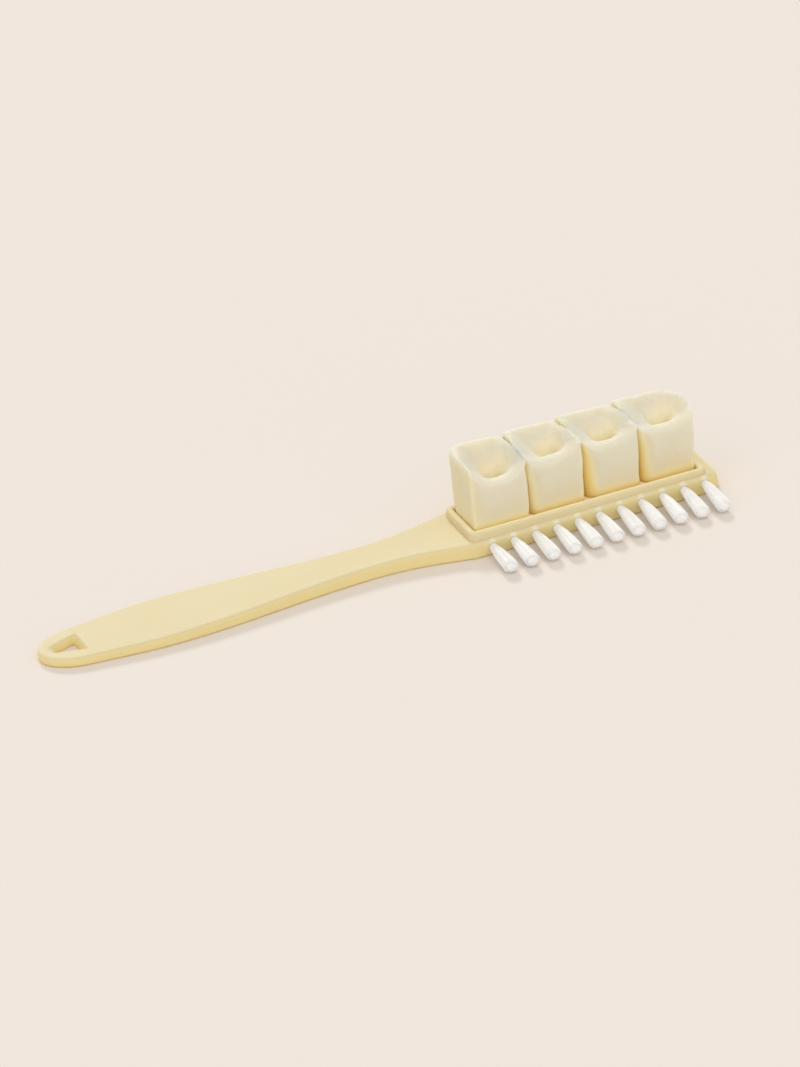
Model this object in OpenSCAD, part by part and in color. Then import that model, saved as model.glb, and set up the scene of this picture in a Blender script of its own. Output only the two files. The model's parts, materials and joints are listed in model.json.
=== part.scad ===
// Suede brush: a moulded plastic body with four crepe rubber loops standing in its head
// and one row of nylon tufts along the head's side.
// Frame: X runs from the hanging end to the tip, the tufts point to -Y, the crepe points up.
// The origin is on the flat underside, on the centreline, at the middle of the moulded body.

/* [Body outline] */
// Length of the moulded body
body_l = 219; // [195:1:265]
// Width that the rounded hanging end is drawn from
end_w = 17.8; // [14:0.1:22]
// Length of the rounded hanging end
end_l = 12; // [9:0.5:15]
// Width of the grip where it is widest
grip_w = 23.9; // [19:0.1:29]
// Distance of the widest place of the grip from the hanging end
grip_x = 40; // [33:1:48]
// Width of the neck
neck_w = 14; // [11:0.1:18]
// Distance from the narrowest place of the neck to the head's shoulder
neck_l = 29; // [23:1:35]
// Length of the head, from its shoulder to the tip
head_l = 82; // [68:1:99]
// Width of the head
head_w = 23.6; // [20:0.1:29]
// Corner radius of the tip, seen from above
tip_corner_r = 5.7; // [4:0.1:7]

/* [Body thickness and edges] */
// Thickness at the hanging end
end_t = 3; // [2.4:0.1:3.8]
// Thickness at the tip, under the rim
tip_t = 6.2; // [5.2:0.1:7.4]
// Rounding of the top edge
edge_r = 1; // [0.6:0.1:1.3]
// Rounding of the top edge round the tip
tip_r = 4.2; // [2:0.1:4.6]
// Rounding of the bottom edge
foot_r = 0.6; // [0.3:0.1:0.8]

/* [Hanging hole] */
// Length of the hole along the handle
hang_l = 10; // [8:0.1:12]
// Width of the hole at its straight side
hang_w = 10.2; // [8.2:0.1:12]
// Radius of the hole's round end
hang_end_r = 2.8; // [2.2:0.1:3.3]
// Radius of the corners at its straight side
hang_r = 0.8; // [0.5:0.1:1.2]
// Plastic left between the hole and the hanging end
hang_wall = 2.3; // [1.8:0.1:3]

/* [Rim and recess] */
// Height of the rim over the ledge at the tip
rim_h = 1.5; // [1.2:0.1:1.9]
// Thickness of the rim
rim_w = 2.2; // [1.8:0.1:2.7]
// Rounding of the rim's top edges
rim_r = 0.8; // [0.4:0.1:0.9]
// How far the rim starts before the head's shoulder
rim_lead = 0.6; // [0.2:0.1:1.5]
// Ledge left outside the rim along the head's sides
ledge = 1.5; // [1.2:0.1:1.9]
// Ledge between the rim and the tip
tip_ledge = 4.4; // [3.6:0.1:5.3]
// Depth of the recess under the rim
recess_depth = 2; // [1.6:0.1:2.3]
// Inner corner radius of the recess
recess_r = 1; // [0.6:0.1:1.5]

/* [Crepe loops] */
// Thickness of the crepe strip
crepe_t = 4.4; // [3.6:0.1:5.2]
// Height of a loop over the rim, at its back
crepe_h = 21.5; // [17.5:0.5:25.5]
// How much lower the front of a loop is than its back
crepe_fall = 3; // [0:0.5:4]
// Depth of the dip in the middle of a loop's front wall
crepe_dip = 2; // [0:0.5:3]
// Outer corner radius of a loop, seen from above
crepe_r = 4; // [3.3:0.1:5]
// Corner radius of the hollow in a loop
hollow_r = 2.8; // [2.2:0.1:3.3]
// Rounding of the strip's cut top edges
crepe_edge_r = 1.2; // [0.8:0.1:1.6]
// Gap between two loops
crepe_gap = 0.9; // [0.7:0.1:1.2]
// Gap between a loop and the rim
crepe_fit = 0.4; // [0.3:0.1:0.8]
// Thickness of the adhesive under the loops
glue_t = 0.4; // [0.3:0.1:0.6]

/* [Tufts] */
// Diameter of a tuft hole
hole_d = 2.6; // [2.2:0.1:3.1]
// Depth of a tuft hole
hole_depth = 6.5; // [5:0.5:8]
// Distance of the hole's axis under the ledge
hole_drop = 2.3; // [2:0.1:2.5]
// Distance of the first tuft from the head's shoulder
first_tuft = 5.4; // [4:0.1:7]
// Distance of the last tuft from the tip
last_tuft = 6.4; // [5.7:0.1:8]
// Length of a tuft outside the body
tuft_l = 14.6; // [12:0.1:17.5]
// Width of a tuft at its free end
tuft_tip_w = 4.7; // [3.8:0.1:5.6]
// Height of a tuft at its free end
tuft_tip_h = 3.7; // [3:0.1:4.4]
// Height of a tuft's lowest strand over the surface that the brush lies on
tuft_clear = 0.2; // [0.1:0.1:0.4]
// Strands in one tuft
tuft_strands = 36; // [30:1:44]
// Width of one side of a strand
strand_w = 0.22; // [0.14:0.01:0.24]
// Clearance round the packed root of a tuft
root_fit = 0.05; // [0.02:0.01:0.1]

/* [Anchors] */
// Thickness of an anchor's metal
anchor_t = 0.35; // [0.25:0.05:0.5]
// Length of an anchor along the hole
anchor_l = 1.6; // [1.2:0.1:2]
// Clearance at each side of an anchor
anchor_fit = 0.1; // [0.05:0.01:0.15]
// Distance between an anchor and the root of its tuft
anchor_gap = 0.3; // [0.1:0.1:0.5]

/* [Hidden] */
$fn = 64;
LOOPS = 4;
TUFTS = 11;
function two(i) = str(i < 10 ? "0" : "", i);

// Stations along the body, measured from the hanging end
origin_x = body_l / 2;
head_x = body_l - head_l;
neck_x = head_x - neck_l;
corner_x = body_l - tip_corner_r;

// Rim and recess, from the same values as the loops that stand in them
rim_x0 = head_x - rim_lead;
rim_x1 = body_l - tip_ledge;
rim_y = head_w / 2 - ledge;
recess_x0 = rim_x0 + rim_w;
recess_x1 = rim_x1 - rim_w;
recess_y = rim_y - rim_w;
rim_z = tip_t + rim_h;
floor_z = rim_z - recess_depth;
loop_z = floor_z + glue_t;
loop_w = (recess_x1 - recess_x0 - 2 * crepe_fit - (LOOPS - 1) * crepe_gap) / LOOPS;
loop_y = recess_y - crepe_fit;
tuft_pitch = (head_l - first_tuft - last_tuft) / (TUFTS - 1);

// How far a cutter runs past the faces that it cuts
over = 2;

// Height of the body's top plane and half its width at a station
function top_z(x) = end_t + (tip_t - end_t) * x / body_l;
function blend(a, b, s) = a + (b - a) * (1 - cos(180 * s)) / 2;
function side_w(x) =
    x < grip_x ? blend(end_w, grip_w, x / grip_x) / 2 :
    x < neck_x ? blend(grip_w, neck_w, (x - grip_x) / (neck_x - grip_x)) / 2 :
    x < head_x ? (neck_w + (head_w - neck_w) * (1 - cos(90 * (x - neck_x) / neck_l))) / 2 :
    head_w / 2;
function end_round(x) = x >= end_l ? 1 : sqrt(1 - pow((end_l - x) / end_l, 2));
function tip_round(x) =
    x <= corner_x ? 0 :
    tip_corner_r - sqrt(pow(tip_corner_r, 2) - pow(x - corner_x, 2));
function half_w(x) = side_w(x) * end_round(x) - tip_round(x);

// The outline: stations close together round both ends, evenly spaced down to the straight head
end_steps = 7;
side_steps = 36;
corner_steps = 6;
stations = concat(
    [for (i = [1:end_steps]) end_l * (1 - cos(90 * i / end_steps))],
    [for (i = [1:side_steps]) end_l + (head_x - end_l) * i / side_steps],
    [for (i = [0:corner_steps]) corner_x + tip_corner_r * sin(90 * i / corner_steps)]);
last_station = len(stations) - 1;
outline = concat([[0, 0]],
    [for (x = stations) [x, -half_w(x)]],
    [for (i = [last_station:-1:0]) [stations[i], half_w(stations[i])]]);
outline_n = len(outline);
function outward(i) =
    let (d = outline[(i + 1) % outline_n] - outline[(i + outline_n - 1) % outline_n])
    [d[1], -d[0]] / norm(d);

// Radius of the top edge, which grows where the outline goes round the tip.
// It stays under the corner's own radius, or the rings would cross there.
corner_share = 0.75;
tip_edge_r = min(tip_r, corner_share * tip_corner_r);
function top_r(x) = x <= corner_x ? edge_r : blend(edge_r, tip_edge_r, (x - corner_x) / tip_corner_r);

// Closed rings of points round the body: the outline drawn in by the bottom or the top edge's rounding
function foot_ring(a) =
    [for (i = [0:outline_n - 1])
        let (p = outline[i] - outward(i) * foot_r * (1 - sin(a)))
        [p[0], p[1], foot_r * (1 - cos(a))]];
function edge_ring(a) =
    [for (i = [0:outline_n - 1])
        let (r = top_r(outline[i][0]), p = outline[i] - outward(i) * r * (1 - cos(a)))
        [p[0], p[1], top_z(p[0]) - r * (1 - sin(a))]];

// The ring past the last one, in line with the two before it, so that a flat cut crosses clean faces
past = 0.6;
function ring_past(ring, last) = [for (i = [0:len(ring) - 1]) last[i] + (last[i] - ring[i]) * past];
body_rings = concat(
    [ring_past(foot_ring(45), foot_ring(0))],
    [for (a = [45, 90]) foot_ring(a)],
    [for (a = [0, 22.5, 45, 67.5]) edge_ring(a)],
    [ring_past(edge_ring(67.5), edge_ring(90))]);

// Faces that close the body's first ring: rungs across the outline, from each station to its opposite
ladder = concat([[0, 1, outline_n - 1]],
    [for (i = [1:last_station]) [i, i + 1, outline_n - i - 1, outline_n - i]]);

// A solid skinned over rings of equal length. The faces in cap close both ends. With no cap the
// last ring joins the first, which makes a closed tube.
module skin(rings, cap = []) {
    n = len(rings[0]);
    m = len(rings);
    rows = len(cap) > 0 ? m - 1 : m;
    function at(k, i) = (k % m) * n + i % n;
    faces = concat(
        cap,
        [for (f = cap) [for (i = [len(f) - 1:-1:0]) at(m - 1, f[i])]],
        [for (k = [0:rows - 1], i = [0:n - 1]) [at(k, i), at(k + 1, i), at(k, i + 1)]],
        [for (k = [0:rows - 1], i = [0:n - 1]) [at(k, i + 1), at(k + 1, i), at(k + 1, i + 1)]]);
    polyhedron([for (ring = rings) each ring], faces);
}

// Points on an arc, from angle a to angle b
function arc(centre, r, a, b, steps = 8) =
    [for (i = [0:steps]) let (t = a + (b - a) * i / steps) centre + r * [cos(t), sin(t)]];

// A rounded rectangle between two stations, reaching y to each side of the centreline
module round_box(x0, x1, y, r) {
    translate([x0 + r, -y]) square([x1 - x0 - 2 * r, 2 * y]);
    translate([x0, r - y]) square([x1 - x0, 2 * (y - r)]);
    for (x = [x0 + r, x1 - r], side = [-1, 1]) translate([x, side * (y - r)]) circle(r);
}

module place() {
    translate([-origin_x, 0, 0]) children();
}

// The moulded body without its rim: the skin cut flat by the underside and by the sloping top plane
module body() {
    cut_w = 2 * (grip_w + head_w);
    cut = [body_l + 2 * cut_w, cut_w, tip_t];
    tilt = atan((tip_t - end_t) / body_l);
    difference() {
        skin(body_rings, ladder);
        translate([-cut_w, -cut_w / 2, -cut[2]]) cube(cut);
        translate([0, 0, end_t]) rotate([0, -tilt, 0]) translate([-cut_w, -cut_w / 2, 0]) cube(cut);
    }
}

// The rim's section: a wall with both top edges rounded, standing on the head
module rim_section(h) {
    square([rim_w, h - rim_r]);
    translate([rim_r, 0]) square([rim_w - 2 * rim_r, h]);
    translate([rim_r, h - rim_r]) circle(rim_r);
    translate([rim_w - rim_r, h - rim_r]) circle(rim_r);
}

// The rim: its section run along four sides and turned round four corners, rooted in the head
rim_root = 1.5;
module rim() {
    base = top_z(head_x) - rim_root;
    h = rim_z - base;
    cx = [recess_x0 + recess_r, recess_x1 - recess_r];
    cy = recess_y - recess_r;
    translate([0, 0, base]) {
        for (k = [0, 1]) {
            translate([cx[k], 0, 0]) mirror([1 - k, 0, 0])
                translate([recess_r, cy, 0]) rotate([90, 0, 0])
                    linear_extrude(2 * cy) rim_section(h);
            mirror([0, k, 0]) {
                translate([cx[0], recess_y, 0]) rotate([90, 0, 90])
                    linear_extrude(cx[1] - cx[0]) rim_section(h);
                for (j = [0, 1])
                    translate([cx[j], cy, 0]) mirror([1 - j, 0, 0])
                        rotate_extrude(angle = 90) translate([recess_r, 0]) rim_section(h);
            }
        }
    }
}

// Triangular hanging hole: a straight side towards the grip, and sides that close on a round end
module hanging_hole() {
    end = [hang_wall + hang_end_r, 0];
    corner = [hang_wall + hang_l - hang_r, hang_w / 2 - hang_r];
    d = corner - end;
    side = atan2(d[1], d[0]) + acos((hang_end_r - hang_r) / norm(d));
    translate([0, 0, -over]) linear_extrude(tip_t + 2 * over) polygon(concat(
        arc([corner[0], -corner[1]], hang_r, -side, 0),
        arc(corner, hang_r, 0, side),
        arc(end, hang_end_r, side, 360 - side)));
}

function tuft_x(i) = head_x + first_tuft + (i - 1) * tuft_pitch;
function tuft_z(i) = top_z(tuft_x(i)) - hole_drop;

module tuft_hole(i) {
    translate([tuft_x(i), -head_w / 2 + hole_depth, tuft_z(i)]) rotate([90, 0, 0])
        cylinder(h = hole_depth + over, d = hole_d);
}

module handle() {
    color("#ecdcb4") place() difference() {
        union() {
            body();
            rim();
        }
        translate([0, 0, floor_z]) linear_extrude(recess_depth + over)
            round_box(recess_x0, recess_x1, recess_y, recess_r);
        hanging_hole();
        for (i = [1:TUFTS]) tuft_hole(i);
    }
}

module glue_bed() {
    color("#c99a4a") place() translate([0, 0, floor_z]) linear_extrude(glue_t)
        round_box(recess_x0 + crepe_fit, recess_x1 - crepe_fit, loop_y, recess_r);
}

// Plan outline of the loop that starts at x0, drawn in from its outer wall by inset. The corner
// radius passes over to the hollow's on the way, and each side has points for the top to bend over.
loop_corner_steps = 4;
loop_side_steps = 4;
function loop_corner(x0, inset, k) =
    let (
        r = crepe_r + (hollow_r - crepe_r) * inset / crepe_t,
        x = loop_w / 2 - inset - r,
        y = loop_y - inset - r,
        to = [[-1, -1], [1, -1], [1, 1], [-1, 1]][k % 4])
    arc([x0 + loop_w / 2 + to[0] * x, to[1] * y], r, 180 + 90 * k, 270 + 90 * k, loop_corner_steps);
function loop_outline(x0, inset) =
    [for (k = [0:3])
        let (
            here = loop_corner(x0, inset, k),
            a = here[loop_corner_steps],
            b = loop_corner(x0, inset, k + 1)[0])
        each concat(here, [for (i = [1:loop_side_steps - 1]) a + (b - a) * i / loop_side_steps])];

// Height of a loop's top: it falls to the front, and dips in the middle of the front wall
function loop_top(x0, p) =
    let (
        across = 2 * (p[0] - x0) / loop_w - 1,
        back = (p[1] + loop_y) / (2 * loop_y),
        dip = crepe_dip * max(0, 1 - across * across) * max(0, 1 - 2 * back))
    rim_z + crepe_h - crepe_fall * (1 - back) - dip;

// Rings of a loop: on the adhesive, and round its top edge at angle a, from the wall to the flat
function loop_foot(x0, inset) = [for (p = loop_outline(x0, inset)) [p[0], p[1], loop_z]];
function loop_edge(x0, a, inner) =
    let (in = crepe_edge_r * (1 - cos(a)))
    [for (p = loop_outline(x0, inner ? crepe_t - in : in))
        [p[0], p[1], loop_top(x0, p) - crepe_edge_r * (1 - sin(a))]];

// One loop: a strip of crepe closed to a ring that stands on its edge, its cut edges rounded
module crepe_loop(i) {
    x0 = recess_x0 + crepe_fit + (i - 1) * (loop_w + crepe_gap);
    color("#e6dcc0") place() skin(concat(
        [loop_foot(x0, 0)],
        [for (a = [0, 45, 90]) loop_edge(x0, a, false)],
        [for (a = [90, 45, 0]) loop_edge(x0, a, true)],
        [loop_foot(x0, crepe_t)]));
}

// Strand places: a sunflower spiral that fills the unit disc, so that no two come close
golden = 137.507764;
function seat(k) = sqrt((k - 0.5) / tuft_strands) * [cos(k * golden), sin(k * golden)];

// A three-sided strand skinned over three rings, which opens outward and bends down to the tip
strand_rows = [0, 0.55, 1];
strand_bend = 1.5;
strand_sink = 0.3;
module strand(k, drop) {
    root_r = hole_d / 2 - root_fit - strand_w;
    s = seat(k);
    rings = [for (t = strand_rows)
        let (
            cx = s[0] * (root_r + (tuft_tip_w / 2 - root_r) * t),
            cz = s[1] * (root_r + (tuft_tip_h / 2 - root_r) * t) - drop * pow(t, strand_bend),
            y = strand_sink - (tuft_l + strand_sink) * t)
        [for (a = [90, 210, 330]) [cx + strand_w * cos(a) / sqrt(3), y, cz + strand_w * sin(a) / sqrt(3)]]];
    skin(rings, [[0, 1, 2]]);
}

// One tuft: strands fused to the packed root that fills the hole down to its anchor
module bristle_tuft(i) {
    drop = max(0, tuft_z(i) - tuft_tip_h / 2 - strand_w / 2 - tuft_clear);
    root_l = hole_depth - anchor_l - anchor_gap;
    color("#f4f1ee") place() translate([tuft_x(i), -head_w / 2, tuft_z(i)]) {
        rotate([-90, 0, 0]) cylinder(h = root_l, d = hole_d - 2 * root_fit, $fn = 32);
        for (k = [1:tuft_strands]) strand(k, drop);
    }
}

// One anchor: a flat staple across the bottom of the hole, behind the packed root
module tuft_anchor(i) {
    w = hole_d - 2 * anchor_fit;
    color("#b9bcc0") place()
        translate([tuft_x(i) - w / 2, -head_w / 2 + hole_depth - anchor_l, tuft_z(i) - anchor_t / 2])
            cube([w, anchor_l, anchor_t]);
}

handle();
glue_bed();
for (i = [1:LOOPS])
    crepe_loop(i);
for (i = [1:TUFTS])
    bristle_tuft(i);
for (i = [1:TUFTS])
    tuft_anchor(i);
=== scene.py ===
# %% [markdown]
# # A suede brush
# The brush is one flat moulding of pale yellow plastic. Four loops of natural crepe rubber stand
# in a shallow recess in its head, and eleven tufts of white nylon stick out of the head's side.
# Its construction is packed already, at real size and in metres. This lesson makes the looks
# around that frame: a smooth body, rough crepe, fine bristle, and their materials.

# %% Load the frame
import json
import math
import random

import bmesh
import bpy
from mathutils import Matrix, Vector, noise

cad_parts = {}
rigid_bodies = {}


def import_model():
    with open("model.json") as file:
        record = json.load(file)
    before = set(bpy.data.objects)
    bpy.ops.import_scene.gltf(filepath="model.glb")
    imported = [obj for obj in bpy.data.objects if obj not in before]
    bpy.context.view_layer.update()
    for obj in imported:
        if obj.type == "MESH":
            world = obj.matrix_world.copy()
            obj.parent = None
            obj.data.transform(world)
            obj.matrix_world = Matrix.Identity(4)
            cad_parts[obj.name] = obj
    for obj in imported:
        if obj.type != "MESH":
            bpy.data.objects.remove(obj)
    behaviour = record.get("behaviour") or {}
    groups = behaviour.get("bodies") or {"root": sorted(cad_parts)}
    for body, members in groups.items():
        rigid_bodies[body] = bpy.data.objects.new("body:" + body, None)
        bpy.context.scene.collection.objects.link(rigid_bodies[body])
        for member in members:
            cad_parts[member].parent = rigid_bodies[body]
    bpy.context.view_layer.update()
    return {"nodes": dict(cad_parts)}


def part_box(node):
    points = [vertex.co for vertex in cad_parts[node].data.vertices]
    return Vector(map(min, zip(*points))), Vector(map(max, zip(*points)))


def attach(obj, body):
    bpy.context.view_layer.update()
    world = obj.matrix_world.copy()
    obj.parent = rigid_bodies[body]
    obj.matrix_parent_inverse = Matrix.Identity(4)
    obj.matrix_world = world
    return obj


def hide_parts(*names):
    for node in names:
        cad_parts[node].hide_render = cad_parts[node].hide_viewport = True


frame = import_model()
scene = bpy.context.scene
MM = 0.001
LOOPS = 4
TUFTS = 11

# %% [markdown]
# ## Camera
# A product shot is taken from far away with a long lens, so that parallel edges stay parallel.
# The angles below were found by matching known edges of the brush with the picture. The camera
# also leans a little, which is why the brush climbs to the right. Its three axes are worked out
# here, because a Track To constraint can't lean.

# %% Camera
CAMERA_AZIMUTH = math.radians(-21.688)
CAMERA_ELEVATION = math.radians(28.877)
CAMERA_ROLL = math.radians(-4.892)
CAMERA_DISTANCE = 3.5
LENS_PX = 11742.5
IMAGE_H = 1067
SENSOR = 36
AIM = Vector((0.5, -8, 5)) * MM
AIM_SHIFT = Vector((3.5, 8.73)) * MM


def camera_axes():
    """Right, up and back of the camera, as unit vectors."""
    back = Vector((math.sin(CAMERA_AZIMUTH) * math.cos(CAMERA_ELEVATION),
                   -math.cos(CAMERA_AZIMUTH) * math.cos(CAMERA_ELEVATION),
                   math.sin(CAMERA_ELEVATION)))
    level = Vector((0, 0, 1)).cross(back).normalized()
    upright = back.cross(level)
    right = math.cos(CAMERA_ROLL) * level + math.sin(CAMERA_ROLL) * upright
    return right, back.cross(right), back


def make_camera():
    right, up, back = camera_axes()
    target = AIM + AIM_SHIFT.x * right + AIM_SHIFT.y * up
    data = bpy.data.cameras.new("camera")
    data.sensor_width = SENSOR
    data.lens = LENS_PX * SENSOR / IMAGE_H
    data.clip_start = 0.1
    data.clip_end = 20
    camera = bpy.data.objects.new("camera", data)
    camera.matrix_world = Matrix.Translation(target + CAMERA_DISTANCE * back) @ Matrix(
        (right, up, back)).transposed().to_4x4()
    scene.collection.objects.link(camera)
    scene.camera = camera
    print("camera: lens", round(data.lens, 1), "mm at", CAMERA_DISTANCE, "m")


make_camera()

# %% [markdown]
# ## Light and floor
# The picture is lit almost evenly: the front of the brush is nearly as bright as its top, and one
# narrow shadow lies along the front edge. Three plain lights give that. A white world is the even
# part. A sun from behind draws the shadow. A very wide sun from the front lifts the walls a little
# and casts no visible shadow. Together they light the floor with about 1, so that colours render
# as they are written. The backdrop has the floor's colour, through Light Path.

# %% World, suns and floor
BACKGROUND = (0.879, 0.799, 0.723)
WORLD_STRENGTH = 0.63
BACK_SUN = {"strength": 1.13, "angle": math.radians(14), "towards": Vector((0.15, 0.8, 0.53))}
FRONT_SUN = {"strength": 0.9, "angle": math.radians(110), "towards": Vector((-0.3, -0.8, 0.6))}
FLOOR_HALF = 3


def node_tree(owner):
    owner.use_nodes = True
    owner.node_tree.nodes.clear()
    return owner.node_tree.nodes, owner.node_tree.links


def make_world():
    world = bpy.data.worlds.new("studio")
    nodes, links = node_tree(world)
    light = nodes.new("ShaderNodeBackground")
    light.inputs["Color"].default_value = (1, 1, 1, 1)
    light.inputs["Strength"].default_value = WORLD_STRENGTH
    backdrop = nodes.new("ShaderNodeBackground")
    backdrop.inputs["Color"].default_value = (*BACKGROUND, 1)
    path = nodes.new("ShaderNodeLightPath")
    mix = nodes.new("ShaderNodeMixShader")
    links.new(path.outputs["Is Camera Ray"], mix.inputs["Fac"])
    links.new(light.outputs[0], mix.inputs[1])
    links.new(backdrop.outputs[0], mix.inputs[2])
    links.new(mix.outputs[0], nodes.new("ShaderNodeOutputWorld").inputs["Surface"])
    scene.world = world


def make_sun(name, strength, angle, towards):
    """A sun that stands in the direction of towards. A wide angle makes its shadow soft."""
    data = bpy.data.lights.new(name, "SUN")
    data.energy = strength
    data.angle = angle
    sun = bpy.data.objects.new(name, data)
    sun.rotation_mode = "QUATERNION"
    sun.rotation_quaternion = towards.to_track_quat("Z", "Y")
    scene.collection.objects.link(sun)
    return sun


def make_floor():
    bm = bmesh.new()
    bmesh.ops.create_grid(bm, x_segments=1, y_segments=1, size=FLOOR_HALF)
    mesh = bpy.data.meshes.new("floor")
    bm.to_mesh(mesh)
    floor = bpy.data.objects.new("floor", mesh)
    scene.collection.objects.link(floor)
    material = bpy.data.materials.new("floor")
    nodes, links = node_tree(material)
    paint = nodes.new("ShaderNodeBsdfDiffuse")
    paint.inputs["Color"].default_value = (*BACKGROUND, 1)
    links.new(paint.outputs[0], nodes.new("ShaderNodeOutputMaterial").inputs["Surface"])
    mesh.materials.append(material)


scene.view_settings.view_transform = "Standard"
make_world()
back_sun = make_sun("back_sun", **BACK_SUN)
make_sun("front_sun", **FRONT_SUN)
make_floor()
print("lights: world", WORLD_STRENGTH, "and suns", BACK_SUN["strength"], FRONT_SUN["strength"])

# %% [markdown]
# ## Small tools
# Every piece below is built in a bmesh, turned into an object, given a material and fixed to the
# frame's one body. A ring is a closed chain of vertices, and a row of rings bridged together is
# how a shape with rounded edges is skinned.


# %% Helpers for pieces
WELD = 0.001 * MM


def new_ring(bm, points):
    """Adds a closed chain of edges through the points."""
    verts = [bm.verts.new(p) for p in points]
    return [bm.edges.new((verts[i - 1], verts[i])) for i in range(len(verts))]


def bridge_rings(bm, rings):
    for lower, upper in zip(rings, rings[1:]):
        bmesh.ops.bridge_loops(bm, edges=lower + upper)


def close_ring(bm, ring):
    bmesh.ops.contextual_create(bm, geom=ring)


def finish_piece(name, bm, material, replaced, smooth_angle=40):
    """Makes the bmesh an object that rides on the body and stands for the replaced nodes."""
    bmesh.ops.remove_doubles(bm, verts=bm.verts, dist=WELD)
    bmesh.ops.recalc_face_normals(bm, faces=bm.faces)
    mesh = bpy.data.meshes.new(name)
    bm.to_mesh(mesh)
    bm.free()
    mesh.shade_smooth()
    mesh.set_sharp_from_angle(angle=math.radians(smooth_angle))
    piece = bpy.data.objects.new(name, mesh)
    scene.collection.objects.link(piece)
    mesh.materials.append(material)
    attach(piece, "root")
    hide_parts(*replaced)
    return piece


def apply_modifiers(piece):
    """Puts what the modifiers make into the mesh itself."""
    made = piece.evaluated_get(bpy.context.evaluated_depsgraph_get())
    mesh = bpy.data.meshes.new_from_object(made)
    piece.modifiers.clear()
    piece.data = mesh


# %% Helpers for materials
def new_material(name):
    material = bpy.data.materials.new(name)
    nodes, links = node_tree(material)
    shader = nodes.new("ShaderNodeBsdfPrincipled")
    links.new(shader.outputs[0], nodes.new("ShaderNodeOutputMaterial").inputs["Surface"])
    return material, nodes, links, shader


def noise_node(nodes, links, scale, detail=3.0):
    """A noise on Object coordinates, with its scale in cells per metre."""
    where = nodes.new("ShaderNodeTexCoord")
    texture = nodes.new("ShaderNodeTexNoise")
    texture.inputs["Scale"].default_value = scale
    texture.inputs["Detail"].default_value = detail
    links.new(where.outputs["Object"], texture.inputs["Vector"])
    return texture


def ramp_node(nodes, links, value, stops):
    """A colour ramp from (position, colour) stops, fed by value."""
    ramp = nodes.new("ShaderNodeValToRGB")
    ramp.color_ramp.interpolation = "EASE"
    elements = ramp.color_ramp.elements
    while len(elements) < len(stops):
        elements.new(0.5)
    for element, (position, colour) in zip(elements, stops):
        element.position = position
        element.color = (*colour, 1)
    links.new(value, ramp.inputs["Fac"])
    return ramp


def math_node(nodes, links, operation, *values):
    """A Math node. Each value is a number or the socket that feeds it."""
    node = nodes.new("ShaderNodeMath")
    node.operation = operation
    for socket, value in zip(node.inputs, values):
        if isinstance(value, (int, float)):
            socket.default_value = value
        else:
            links.new(value, socket)
    return node.outputs[0]


def fade_node(nodes, links, value, start, end):
    """1 where value is at start, 0 where it is at end, and smooth between."""
    fade = nodes.new("ShaderNodeMapRange")
    fade.interpolation_type = "SMOOTHSTEP"
    fade.inputs["From Min"].default_value = start
    fade.inputs["From Max"].default_value = end
    fade.inputs["To Min"].default_value = 1
    fade.inputs["To Max"].default_value = 0
    links.new(value, fade.inputs["Value"])
    return fade.outputs[0]


def add_bump(nodes, links, shader, heights, distance, strength=1.0):
    bump = nodes.new("ShaderNodeBump")
    bump.inputs["Distance"].default_value = distance
    bump.inputs["Strength"].default_value = strength
    links.new(heights, bump.inputs["Height"])
    links.new(bump.outputs[0], shader.inputs["Normal"])


# %% [markdown]
# ## The body
# Seen from above the body is a leaf-shaped grip, a narrow neck and a straight head. Its outline
# is one rule for the half width at each station, with a round end and two round corners at the
# tip. Rings that follow the outline, drawn in step by step, make the rounded edges. A Bevel
# modifier would round them too, but only by one radius, and the tip falls away more softly.

# %% Body sizes
handle_low, handle_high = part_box("handle")
BODY_L = handle_high.x - handle_low.x
END_X = handle_low.x
TIP_X = handle_high.x
END_W = 17.8 * MM
END_L = 12 * MM
GRIP_W = 23.9 * MM
GRIP_X = END_X + 40 * MM
NECK_W = 14 * MM
HEAD_L = 82 * MM
HEAD_X = TIP_X - HEAD_L
NECK_X = HEAD_X - 29 * MM
HEAD_W = 23.6 * MM
TIP_CORNER_R = 5.7 * MM
END_T = 3 * MM
TIP_T = 6.2 * MM
TOP_RISE = (TIP_T - END_T) / BODY_L
EDGE_R = 1 * MM
TIP_R = 4.2 * MM
FOOT_R = 0.6 * MM
HOLE_DROP = 2.3 * MM
print("body:", round(BODY_L / MM, 1), "mm long, grip", round(GRIP_W / MM, 1), "mm wide")


def blend(a, b, s):
    """From a to b along half a cosine wave."""
    return a + (b - a) * (1 - math.cos(math.pi * s)) / 2


def half_width(x):
    if x < GRIP_X:
        half = blend(END_W, GRIP_W, (x - END_X) / (GRIP_X - END_X)) / 2
    elif x < NECK_X:
        half = blend(GRIP_W, NECK_W, (x - GRIP_X) / (NECK_X - GRIP_X)) / 2
    elif x < HEAD_X:
        flare = 1 - math.cos(math.pi / 2 * (x - NECK_X) / (HEAD_X - NECK_X))
        half = (NECK_W + (HEAD_W - NECK_W) * flare) / 2
    else:
        half = HEAD_W / 2
    if x < END_X + END_L:
        half *= math.sqrt(max(0, 1 - ((END_X + END_L - x) / END_L) ** 2))
    into_corner = x - (TIP_X - TIP_CORNER_R)
    if into_corner > 0:
        half -= TIP_CORNER_R - math.sqrt(max(0, TIP_CORNER_R ** 2 - into_corner ** 2))
    return half


def top_height(x):
    return END_T + TOP_RISE * (x - END_X)


def tuft_centre(i):
    """Where tuft i leaves the head's side wall."""
    low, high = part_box(f"bristle_tuft_{i:02d}")
    x = (low.x + high.x) / 2
    return Vector((x, -HEAD_W / 2, top_height(x) - HOLE_DROP))


# %% Body outline
END_STEPS = 12
SIDE_STEPS = 64
CORNER_STEPS = 10


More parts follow.
